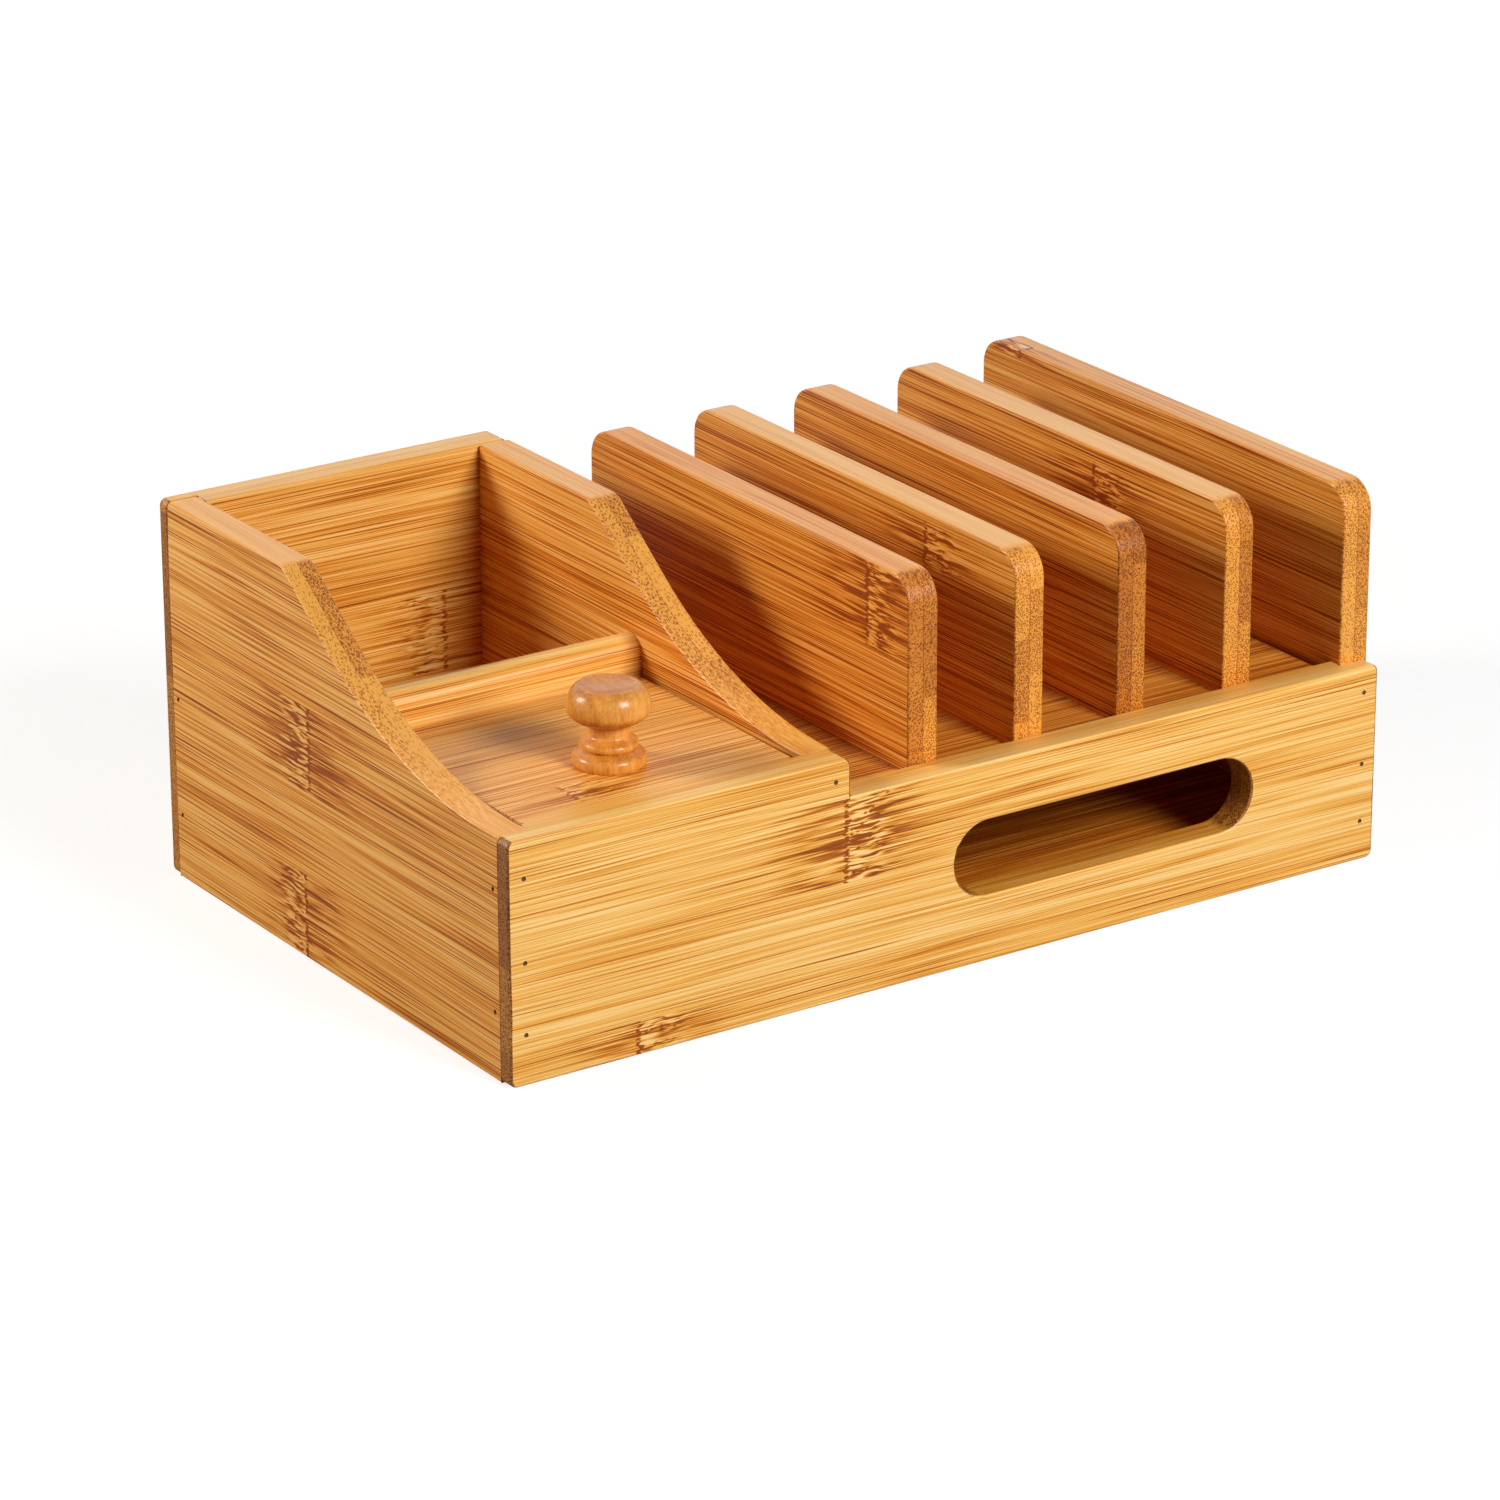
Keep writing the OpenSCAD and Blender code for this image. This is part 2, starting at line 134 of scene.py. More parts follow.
def lightWorld(look):
    world = bpy.data.worlds.new("studioWorld")
    bpy.context.scene.world = world
    tree = shaderTree(world)
    put = nodeMaker(tree)
    rays = put("ShaderNodeLightPath")
    way = put("ShaderNodeSeparateXYZ", {0: put("ShaderNodeTexCoord").outputs["Generated"]})
    ambient, mirrored = [put("ShaderNodeMapRange", {"Value": way.outputs[1], "From Min": -0.5, "From Max": 0.8,
                                                    "To Min": look[key][0], "To Max": look[key][1]})
                         for key in ("ambient", "mirrored")]
    glossy = put("ShaderNodeMapRange", {"Value": rays.outputs["Is Glossy Ray"], "To Min": ambient.outputs[0],
                                        "To Max": mirrored.outputs[0]})
    strength = put("ShaderNodeMath", {0: glossy.outputs[0], 1: rays.outputs["Is Camera Ray"]}, operation="MAXIMUM")
    white = put("ShaderNodeBackground", {"Color": (1, 1, 1, 1), "Strength": strength.outputs[0]})
    put("ShaderNodeOutputWorld", {"Surface": white.outputs[0]})


def addFloor(look):
    size, drop = 6.0, 0.0002
    mesh = bpy.data.meshes.new("floor")
    mesh.from_pydata([(x * size, y * size, -drop) for x, y in ((-1, -1), (1, -1), (1, 1), (-1, 1))],
                     [], [(0, 1, 2, 3)])
    floor = bpy.data.objects.new("floor", mesh)
    bpy.context.scene.collection.objects.link(floor)
    material = bpy.data.materials.new("paleFloor")
    put = nodeMaker(shaderTree(material))
    tone = look["floorWhite"]
    paper = put("ShaderNodeBsdfDiffuse", {"Color": (tone, tone, tone, 1)})
    rays = put("ShaderNodeLightPath")
    spot = put("ShaderNodeTexCoord").outputs["Object"]
    far = put("ShaderNodeVectorMath", {0: spot}, operation="LENGTH").outputs["Value"]
    (near, out), (low, high) = look["floorReach"], look["floorLift"]
    lift = put("ShaderNodeMapRange", {"Value": far, "From Min": near, "From Max": out, "To Min": low,
                                      "To Max": high})
    seen = put("ShaderNodeMath", {0: rays.outputs["Is Camera Ray"], 1: lift.outputs[0]}, operation="MULTIPLY")
    glow = put("ShaderNodeEmission", {"Color": (1, 1, 1, 1), "Strength": seen.outputs[0]})
    both = put("ShaderNodeAddShader", {0: paper.outputs[0], 1: glow.outputs[0]})
    put("ShaderNodeOutputMaterial", {"Surface": both.outputs[0]})
    mesh.materials.append(material)


bpy.context.scene.view_settings.view_transform = "Standard"
addCamera(camera)
addSoftbox("frontSoftbox", studio["front"], studio["aim"])
addSoftbox("leftSoftbox", studio["left"], studio["aim"])
lightWorld(studio)
addFloor(studio)
print("camera, lamps and floor are in place")

# Laminated bamboo. Points run in millimetres: x along the grain, y across the strips, z through the plies

bamboo = {
    "ply": 5.75,
    "slope": 0.005,  # how far a strip's grain may lean, as rise over run
    "wander": 0.4,  # mm that the fibres drift sideways
    "bands": [  # cell along the grain, cell across it, share of the tone
        (200, 14, 0.15), (160, 7, 0.11), (140, 3.4, 0.12), (120, 1.7, 0.22), (100, 0.85, 0.56), (80, 0.45, 1.0),
        (55, 0.24, 1.1)],
    "scratch": (120, 0.4, 0.28),  # the long dark lines: cell along the grain, cell across it, depth
    "bundle": (110, 0.72, 0.68),  # spacing of the dark fibre bundles
    "scorch": 0.36,
    "edgeDepth": 0.6,  # contrast on a board's narrow long edges
    "lineDepth": 0.16,  # how dark a bundle is along the grain, and at its cut end
    "poreDepth": 0.55,
    "tones": [(0.0, (0.300, 0.064, 0.003)), (0.25, (0.585, 0.188, 0.011)), (0.50, (0.815, 0.368, 0.050)),
              (0.75, (0.920, 0.520, 0.120)), (1.0, (0.970, 0.665, 0.260))],
    "endTones": [(0.0, (0.150, 0.042, 0.008)), (0.35, (0.340, 0.115, 0.017)), (0.70, (0.620, 0.265, 0.040)),
                 (1.0, (0.860, 0.480, 0.110))],
}


def stretched(put, point, cell):
    return put("ShaderNodeVectorMath", {0: point, 1: tuple(1 / size for size in cell)},
               operation="MULTIPLY").outputs[0]


def setRamp(ramp, stops):
    ramp.color_ramp.interpolation = "LINEAR"
    elements = ramp.color_ramp.elements
    while len(elements) < len(stops):
        elements.new(0.5)
    for element, (place, colour) in zip(elements, stops):
        element.position = place
        element.color = (*colour, 1)


def grainTree(look):
    tree = bpy.data.node_groups.new("bambooGrain", "ShaderNodeTree")
    sockets = tree.interface
    sockets.new_socket("Point", in_out="INPUT", socket_type="NodeSocketVector")
    for name in ("Seed", "Strip", "Shift"):
        sockets.new_socket(name, in_out="INPUT", socket_type="NodeSocketFloat")
    for name in ("Tone", "EndTone", "Pore", "StripNumber", "PlyNumber"):
        sockets.new_socket(name, in_out="OUTPUT", socket_type="NodeSocketFloat")
    put = nodeMaker(tree)
    calc = mathMaker(put)
    given = put("NodeGroupInput").outputs
    place = put("ShaderNodeSeparateXYZ", {0: given["Point"]}).outputs
    along, across, through = place[0], place[1], place[2]

    within = calc("MULTIPLY_ADD", through, 0.99, 0.05)  # so that no outer face lies on a boundary
    plyNumber = calc("FLOOR", calc("DIVIDE", within, look["ply"]))
    stripPlace = calc("DIVIDE", calc("SUBTRACT", across, given["Shift"]), given["Strip"])
    stripPlace = calc("MULTIPLY_ADD", plyNumber, 0.43, stripPlace)  # the plies' seams don't line up
    stripNumber = calc("FLOOR", stripPlace)
    fromSeam = calc("MINIMUM", calc("FRACT", stripPlace), calc("SUBTRACT", 1.0, calc("FRACT", stripPlace)))
    key = put("ShaderNodeCombineXYZ", {0: stripNumber, 1: plyNumber, 2: given["Seed"]}).outputs[0]
    dice = put("ShaderNodeSeparateColor", {0: put("ShaderNodeTexWhiteNoise", {"Vector": key}).outputs["Color"]})
    diceA, diceB, diceC = dice.outputs

    lean = calc("MULTIPLY", calc("SUBTRACT", diceB, 0.5), look["slope"] * 2)
    leaned = calc("MULTIPLY_ADD", along, lean, across)
    slid = put("ShaderNodeCombineXYZ", {
        0: calc("MULTIPLY_ADD", diceA, 900.0, along), 1: calc("MULTIPLY_ADD", diceC, 70.0, leaned),
        2: calc("MULTIPLY_ADD", diceB, 50.0, through)}).outputs[0]
    drift = put("ShaderNodeTexNoise", {"Vector": stretched(put, slid, (85, 22, 22)), "Scale": 1.0, "Detail": 1.0})
    push = put("ShaderNodeVectorMath", {0: drift.outputs["Color"], 1: (0.5, 0.5, 0.5)}, operation="SUBTRACT")
    push = put("ShaderNodeVectorMath", {0: push.outputs[0], 1: (0.0, look["wander"] * 2, look["wander"])},
               operation="MULTIPLY")
    fibre = put("ShaderNodeVectorMath", {0: slid, 1: push.outputs[0]}, operation="ADD").outputs[0]

    tone = calc("MULTIPLY_ADD", diceC, 0.14, 0.49)
    for cellAlong, cellAcross, share in look["bands"]:
        cell = stretched(put, fibre, (cellAlong, cellAcross, cellAcross))
        band = put("ShaderNodeTexNoise", {"Vector": cell, "Scale": 1.0, "Detail": 0.0}).outputs["Fac"]
        tone = calc("MULTIPLY_ADD", calc("SUBTRACT", band, 0.5), share, tone)
    bundle = put("ShaderNodeTexVoronoi", {"Vector": stretched(put, fibre, look["bundle"]), "Scale": 1.0,
                                          "Randomness": 0.8}).outputs["Distance"]
    line = put("ShaderNodeMapRange", {"Value": bundle, "From Min": 0.34, "From Max": 0.12, "To Min": 0.0,
                                      "To Max": look["lineDepth"]}, interpolation_type="SMOOTHSTEP")
    pore = put("ShaderNodeMapRange", {"Value": bundle, "From Min": 0.56, "From Max": 0.24, "To Min": 0.0,
                                      "To Max": look["poreDepth"]}, interpolation_type="SMOOTHSTEP").outputs[0]
    tone = calc("SUBTRACT", tone, line.outputs[0])
    scratchAlong, scratchAcross, scratchDepth = look["scratch"]
    cell = stretched(put, fibre, (scratchAlong, scratchAcross, scratchAcross))
    scratch = put("ShaderNodeTexNoise", {"Vector": cell, "Scale": 1.3, "Detail": 0.5}).outputs["Fac"]
    scratch = put("ShaderNodeMapRange", {"Value": scratch, "From Min": 0.57, "From Max": 0.70, "To Min": 0.0,
                                         "To Max": scratchDepth}, interpolation_type="SMOOTHSTEP").outputs[0]
    tone = calc("SUBTRACT", tone, scratch)
    seam = put("ShaderNodeMapRange", {"Value": calc("MULTIPLY", fromSeam, given["Strip"]), "From Min": 0.0,
                                      "From Max": 0.25, "To Min": 0.16, "To Max": 0.0}).outputs[0]
    tone = calc("SUBTRACT", tone, seam)
    plyPlace = calc("FRACT", calc("DIVIDE", through, look["ply"]))
    fromGlue = calc("MINIMUM", plyPlace, calc("SUBTRACT", 1.0, plyPlace))
    glue = put("ShaderNodeMapRange", {"Value": calc("MULTIPLY", fromGlue, look["ply"]), "From Min": 0.0,
                                      "From Max": 0.3, "To Min": 0.30, "To Max": 0.0}).outputs[0]
    plyTone = calc("MULTIPLY_ADD", calc("SUBTRACT", diceA, 0.5), 0.46, 0.95)
    endTone = calc("MULTIPLY_ADD", calc("SUBTRACT", tone, 0.5), 0.35, plyTone)
    endTone = calc("SUBTRACT", endTone, calc("ADD", pore, glue))
    put("NodeGroupOutput", {"Tone": tone, "EndTone": endTone, "Pore": pore, "StripNumber": stripNumber,
                            "PlyNumber": plyNumber})
    return tree


def knuckleTree():
    # One growth ring of the cane: a row of dark dashes, bright pitted wood on one side and brown streaks on the other
    tree = bpy.data.node_groups.new("bambooKnuckle", "ShaderNodeTree")
    sockets = tree.interface
    sockets.new_socket("Point", in_out="INPUT", socket_type="NodeSocketVector")
    for name in ("StripNumber", "PlyNumber", "OnStrip", "OnPly", "At", "Way", "Strength", "Middle", "Reach"):
        sockets.new_socket(name, in_out="INPUT", socket_type="NodeSocketFloat")
    for name in ("Dark", "Light"):
        sockets.new_socket(name, in_out="OUTPUT", socket_type="NodeSocketFloat")
    put = nodeMaker(tree)
    calc = mathMaker(put)
    given = put("NodeGroupInput").outputs

    def noise(cell, detail=1.0):
        return put("ShaderNodeTexNoise", {"Vector": stretched(put, given["Point"], cell), "Scale": 1.0,
                                          "Detail": detail}).outputs["Fac"]

    def fade(value, low, high, to=(0.0, 1.0)):
        return put("ShaderNodeMapRange", {"Value": value, "From Min": low, "From Max": high, "To Min": to[0],
                                          "To Max": to[1]}, interpolation_type="SMOOTHSTEP").outputs[0]

    def times(*values):
        total = values[0]
        for value in values[1:]:
            total = calc("MULTIPLY", total, value)
        return total

    place = put("ShaderNodeSeparateXYZ", {0: given["Point"]}).outputs
    sway = calc("MULTIPLY", calc("SUBTRACT", noise((40, 1.6, 1.6)), 0.5), 4.5)
    side = calc("MULTIPLY", calc("SUBTRACT", calc("ADD", place[0], sway), given["At"]), given["Way"])
    ragged = calc("MULTIPLY_ADD", calc("SUBTRACT", noise((25, 2.4, 2.4)), 0.5), 26.0, side)
    inStrip = times(calc("COMPARE", given["StripNumber"], given["OnStrip"], 0.1),
                    calc("COMPARE", given["PlyNumber"], given["OnPly"], 0.1), given["Strength"])
    offMiddle = calc("DIVIDE", calc("ABSOLUTE", calc("SUBTRACT", place[1], given["Middle"])), given["Reach"])
    inStrip = times(inStrip, fade(offMiddle, 1.0, 0.5))
    swirl = put("ShaderNodeTexNoise", {"Vector": stretched(put, given["Point"], (14, 7, 7)), "Scale": 1.0})
    turned = put("ShaderNodeCombineXYZ", {
        0: place[0], 1: calc("MULTIPLY_ADD", swirl.outputs["Fac"], 4.0, place[1]), 2: place[2]}).outputs[0]
    stroke = put("ShaderNodeTexNoise", {"Vector": stretched(put, turned, (9, 1.1, 1.1)), "Scale": 1.0,
                                        "Detail": 1.0}).outputs["Fac"]
    pit = put("ShaderNodeTexVoronoi", {"Vector": stretched(put, turned, (3.4, 1.9, 1.9)), "Scale": 1.0})
    zone = times(fade(side, 0.0, 0.9), fade(ragged, 19.0, 8.0))
    dash = times(fade(calc("ABSOLUTE", side), 1.1, 0.35), fade(noise((14, 0.9, 0.9)), 0.40, 0.55))
    pits = times(zone, fade(pit.outputs["Distance"], 0.30, 0.16))
    brown = times(calc("ADD", times(fade(side, 0.8, -0.6), fade(ragged, -36.0, -4.0)),
                       times(fade(side, 3.0, 10.0), fade(ragged, 42.0, 10.0), 0.8)),
                  fade(noise((22, 1.3, 1.3)), 0.38, 0.64))
    bright = calc("MULTIPLY_ADD", calc("SUBTRACT", stroke, 0.5), 3.4, -0.04)
    dark = calc("ADD", calc("ADD", times(dash, 0.75), times(pits, 0.45)), times(brown, 0.42))
    put("NodeGroupOutput", {"Dark": times(dark, inStrip), "Light": times(bright, zone, inStrip)})
    return tree


grain = grainTree(bamboo)
knuckle = knuckleTree()
axes = {"acrossX": (0, 2, 1), "deepY": (1, 2, 0), "flatX": (0, 1, 2), "flatY": (1, 0, 2)}


def bambooMaterial(name, node, look):
    material = bpy.data.materials.new(name)
    tree = shaderTree(material)
    put = nodeMaker(tree)
    calc = mathMaker(put)
    texture = put("ShaderNodeTexCoord")
    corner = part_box(node)[0]
    local = put("ShaderNodeVectorMath", {0: texture.outputs["Object"], 1: tuple(corner)}, operation="SUBTRACT")
    local = put("ShaderNodeVectorMath", {0: local.outputs[0], 1: (1 / mm,) * 3}, operation="MULTIPLY")
    part = put("ShaderNodeSeparateXYZ", {0: local.outputs[0]}).outputs
    order = axes[look["grain"]]
    point = put("ShaderNodeCombineXYZ", {i: part[order[i]] for i in range(3)}).outputs[0]
    facing = put("ShaderNodeSeparateXYZ", {0: texture.outputs["Normal"]}).outputs[order[0]]
    end = put("ShaderNodeMapRange", {"Value": calc("ABSOLUTE", facing), "From Min": 0.12, "From Max": 0.40},
              interpolation_type="SMOOTHSTEP").outputs[0]
    wood = put("ShaderNodeGroup", {}, node_tree=grain)
    tree.links.new(point, wood.inputs["Point"])
    wood.inputs["Seed"].default_value = look["seed"]
    wood.inputs["Strip"].default_value = look.get("strip", 28.5)
    wood.inputs["Shift"].default_value = look.get("shift", 0.0)
    edgeOn = put("ShaderNodeSeparateXYZ", {0: texture.outputs["Normal"]}).outputs[order[1]]
    depth = put("ShaderNodeMapRange", {"Value": calc("ABSOLUTE", edgeOn), "From Min": 0.3, "From Max": 0.9,
                                       "To Min": look.get("depth", 1.0), "To Max": bamboo["edgeDepth"]})
    tone = calc("MULTIPLY_ADD", calc("SUBTRACT", wood.outputs["Tone"], 0.5), depth.outputs[0],
                0.5 + look.get("lift", 0.0))
    # Painted highlight: faces that look across the strips (the tops of upright boards, the front and back edges of
    # flat ones) are made lighter
    edgeHighlightPaint = put("ShaderNodeMapRange", {"Value": calc("ABSOLUTE", edgeOn), "From Min": 0.6, "From Max": 0.95,
                                        "To Min": 0.0, "To Max": look.get("paintedEdgeLight", 0.08)})
    tone = calc("ADD", tone, edgeHighlightPaint.outputs[0])
    for onStrip, onPly, change in look.get("strips", []):
        chosen = calc("MULTIPLY", calc("COMPARE", wood.outputs["StripNumber"], onStrip, 0.1),
                      calc("COMPARE", wood.outputs["PlyNumber"], onPly, 0.1))
        tone = calc("MULTIPLY_ADD", chosen, change, tone)
    for onStrip, onPly, at, way, strength, middle, reach in look.get("knuckles", []):
        ring = put("ShaderNodeGroup", {}, node_tree=knuckle)
        for key, value in {"Point": point, "StripNumber": wood.outputs["StripNumber"],
                           "PlyNumber": wood.outputs["PlyNumber"]}.items():
            tree.links.new(value, ring.inputs[key])
        for key, value in {"OnStrip": onStrip, "OnPly": onPly, "At": at, "Way": way, "Strength": strength,
                           "Middle": middle, "Reach": reach}.items():
            ring.inputs[key].default_value = value
        tone = calc("SUBTRACT", calc("ADD", tone, ring.outputs["Light"]), ring.outputs["Dark"])
    if "slot" in look:
        # The opening's own walls are made darker
        (left, right), (low, high) = look["slot"]
        off = calc("MAXIMUM", calc("DIVIDE", calc("ABSOLUTE", calc("SUBTRACT", part[0], (left + right) / 2)),
                                   (right - left) / 2),
                   calc("DIVIDE", calc("ABSOLUTE", calc("SUBTRACT", part[2], (low + high) / 2)), (high - low) / 2))
        inside = calc("LESS_THAN", off, 1.03)
        turnedIn = put("ShaderNodeSeparateXYZ", {0: texture.outputs["Normal"]}).outputs[1]
        turnedIn = put("ShaderNodeMapRange", {"Value": calc("ABSOLUTE", turnedIn), "From Min": 0.6, "From Max": 0.1,
                                              "To Min": 0.0, "To Max": bamboo["scorch"]}).outputs[0]
        tone = calc("SUBTRACT", tone, calc("MULTIPLY", inside, turnedIn))
    ramp = put("ShaderNodeValToRGB", {0: tone})
    setRamp(ramp, bamboo["tones"])
    endRamp = put("ShaderNodeValToRGB", {0: calc("ADD", wood.outputs["EndTone"], look.get("endLift", 0.0))})
    setRamp(endRamp, bamboo["endTones"])
    colour = put("ShaderNodeMix", {"Factor": end, 6: ramp.outputs["Color"], 7: endRamp.outputs["Color"]},
                 data_type="RGBA").outputs[2]
    warmth = look.get("warmth", 0.0)
    colour = put("ShaderNodeVectorMath", {0: colour, 1: (1.0, 1 - 0.25 * warmth, 1 - 0.55 * warmth)},
                 operation="MULTIPLY").outputs[0]
    height = calc("SUBTRACT", calc("MULTIPLY", tone, 0.6), wood.outputs["Pore"])
    bump = put("ShaderNodeBump", {"Strength": 0.25, "Distance": 0.00012, "Height": height})
    polish = look.get("polish", 0.0)
    rough = put("ShaderNodeMapRange", {"Value": tone, "From Min": 0.0, "From Max": 1.0, "To Min": 0.44 - polish,
                                       "To Max": 0.32 - polish})
    shader = put("ShaderNodeBsdfPrincipled", {
        "Base Color": colour, "Roughness": rough.outputs[0], "Normal": bump.outputs[0], "IOR": 1.46,
        "Specular IOR Level": 0.45})
    put("ShaderNodeOutputMaterial", {"Surface": shader.outputs[0]})
    return material


# strips: strip, ply and how much its tone is lifted
# knuckles: strip, ply, place along the grain, side of the bright wood, strength, middle and reach across the grain
boardLooks = {
    "front_panel": {"grain": "acrossX", "seed": 1.3, "shift": 11.5, "lift": 0.09, "warmth": 0.1, "endLift": -0.55,
                    "slot": ((167.75, 287.75), (23, 49)), "strips": [(0, 0, 0.20), (2, 0, 0.10)],
                    "knuckles": [(1, 0, 125.5, 1, 1.6, 54, 60), (-1, 0, 47, 1, 1.2, 5, 60)]},
    # back_panel's endLift of -0.45 paints extra shade onto its end grain
    "back_panel": {"grain": "acrossX", "seed": 2.6, "shift": 26.0, "lift": 0.08, "warmth": 0.2, "endLift": -0.45,
                   "knuckles": [(1, 0, 101, -1, 0.8, 68, 60), (0, 1, 210, 1, 1.3, 30, 60)]},
    "left_side_panel": {"grain": "deepY", "seed": 3.9, "strip": 29.3, "depth": 1.5, "lift": 0.06, "warmth": 0.7,
                        "endLift": 0.05,
                        "knuckles": [(2, 0, 114.5, 1, 1.8, 73, 60), (0, 0, 119, 1, 1.8, 14, 60)]},
    "middle_side_panel": {"grain": "deepY", "seed": 4.2, "shift": 8.0, "depth": 1.4, "lift": 0.05, "warmth": 0.7, "endLift": 0.05},
    "right_end_panel": {"grain": "deepY", "seed": 5.5, "shift": 14.0, "depth": 1.2, "warmth": 0.7,
                        "knuckles": [(4, 0, 182, 1, 1.2, 128, 8), (1, 1, 95, 1, 1.5, 50, 60)]},
    # base_board's lift of -0.36 paints shade onto the floor inside the hollow
    "base_board": {"grain": "flatX", "seed": 6.8, "lift": -0.36, "warmth": 0.5},
    # storage_divider's edge value paints a highlight along its round top
    "storage_divider": {"grain": "acrossX", "seed": 7.1, "shift": 16.0, "lift": 0.10, "warmth": 0.2, "paintedEdgeLight": 0.2},
    "lid_ledge_left": {"grain": "deepY", "seed": 8.4, "warmth": 0.5},
    "lid_ledge_right": {"grain": "deepY", "seed": 8.7, "warmth": 0.5},
    "deck_ledge_left": {"grain": "deepY", "seed": 9.1, "warmth": 0.5},
    "deck_ledge_right": {"grain": "deepY", "seed": 9.7, "warmth": 0.5},
    "lid": {"grain": "flatX", "seed": 10.2, "shift": 5.0, "depth": 1.2, "warmth": 0.5, "lift": 0.06,
            "knuckles": [(0, 1, 26, 1, 0.9, 14, 10)]},
    # deck's lift of -0.14 paints shade onto it between the dividers
    "deck": {"grain": "flatX", "seed": 11.5, "lift": -0.14, "warmth": 0.4},
    "divider_1": {"grain": "deepY", "seed": 12.3, "shift": 8.5, "depth": 1.4, "warmth": 1.0, "endLift": -0.20,
                  "knuckles": [(1, 0, 23, -1, 1.8, 52, 60)]},
    "divider_2": {"grain": "deepY", "seed": 13.8, "shift": 8.0, "depth": 1.4, "warmth": 0.9, "endLift": -0.10,
                  "paintedEdgeLight": 0.3,
                  "knuckles": [(1, 0, 50, -1, 1.6, 55, 9)]},
    "divider_3": {"grain": "deepY", "seed": 14.1, "shift": 8.2, "depth": 1.4, "warmth": 1.0, "endLift": -0.20,
                  "paintedEdgeLight": 0.2},
    "divider_4": {"grain": "deepY", "seed": 15.6, "shift": 7.7, "depth": 1.4, "warmth": 0.9, "endLift": -0.10,
                  "paintedEdgeLight": 0.3,
                  "knuckles": [(1, 0, 72, -1, 1.6, 53, 9)]},
}

# Boards, with their sanded edges

boardShape = {
    "freeEdge": 0.9,
    "jointEdge": 0.1,
    "thinEdge": 0.5,  # on the lid and the small strips
    "segments": 3,
    "holeSize": 8.0,  # a ring of edges smaller than this is a screw's or a brad's hole
    "touch": 0.35,
    "widthRun": 1.2,  # how far a wide edge runs on past a curve before it turns into a joint
    "sharp": 25,  # degrees
}


def solidOf(name):
    mesh = bmesh.new()
    mesh.from_mesh(nodes[name].data)
    bmesh.ops.remove_doubles(mesh, verts=mesh.verts, dist=0.01 * mm)
    return mesh


def islandsOf(name):
    mesh = solidOf(name)
    left, boxes = set(mesh.verts), []
    while left:
        queue = [left.pop()]
        points = []
        while queue:
            vert = queue.pop()
            points.append(vert.co.copy())
            for edge in vert.link_edges:
                other = edge.other_vert(vert)
                if other in left:
                    left.remove(other)
                    queue.append(other)
        boxes.append([Vector(pick(p[i] for p in points) for i in range(3)) for pick in (min, max)])
    mesh.free()
    return sorted(boxes, key=lambda corners: tuple(round(x, 5) for x in corners[0]))


def touches(a, b, gap):
    (lowA, highA), (lowB, highB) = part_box(a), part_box(b)
    return all(lowA[i] - gap < highB[i] and lowB[i] - gap < highA[i] for i in range(3))


def cutIntoPlainFaces(mesh, name, others):
    # Cuts at the neighbours' corners part joints from free edges, and cuts through holes leave faces without holes
    low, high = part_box(name)
    planes = {(axis, round(corner[axis], 6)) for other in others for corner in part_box(other) for axis in range(3)}
    for node in fasteners:
        if touches(name, node, 0.0):
            for start, end in islandsOf(node):
                run = max(range(3), key=lambda i: end[i] - start[i])
                axis = max((i for i in range(3) if i != run), key=lambda i: high[i] - low[i])
                planes.add((axis, round((start[axis] + end[axis]) / 2, 6)))
    planes = sorted((axis, at) for axis, at in planes if low[axis] + mm < at < high[axis] - mm)
    for axis, at in planes:
        unit = Vector([float(i == axis) for i in range(3)])
        geometry = mesh.verts[:] + mesh.edges[:] + mesh.faces[:]
        bmesh.ops.bisect_plane(mesh, geom=geometry, dist=0.002 * mm, plane_co=unit * at, plane_no=unit)
    cells = {}
    for face in mesh.faces:
        middle = face.calc_center_median()
        cell = tuple(middle[axis] > at + 0.001 * mm for axis, at in planes)
        face.material_index = cells.setdefault(cell, len(cells))
    bmesh.ops.dissolve_limit(mesh, angle_limit=math.radians(0.5), verts=mesh.verts, edges=mesh.edges,
                             delimit={"MATERIAL"})
    for face in mesh.faces:
        face.material_index = 0


def smallRings(edges, size):
    byVert = {}
    for edge in edges:
        for vert in edge.verts:
            byVert.setdefault(vert, []).append(edge)
    left, small = set(edges), set()
    while left:
        queue = [left.pop()]
        ring = set(queue)
        while queue:
            for vert in queue.pop().verts:
                for edge in byVert[vert]:
                    if edge in left:
                        left.remove(edge)
                        ring.add(edge)
                        queue.append(edge)
        points = [vert.co for edge in ring for vert in edge.verts]
        if all(max(p[i] for p in points) - min(p[i] for p in points) < size for i in range(3)):
            small |= ring
    return small


def isJoint(edge, trees):
    middle = (edge.verts[0].co + edge.verts[1].co) / 2
    return any(tree.find_nearest(middle, boardShape["touch"] * mm)[0] is not None for tree in trees)


def bendAt(vert, edge, other):
    a, b = edge.other_vert(vert).co - vert.co, vert.co - other.other_vert(vert).co
    return math.degrees(a.angle(b, 0.0))


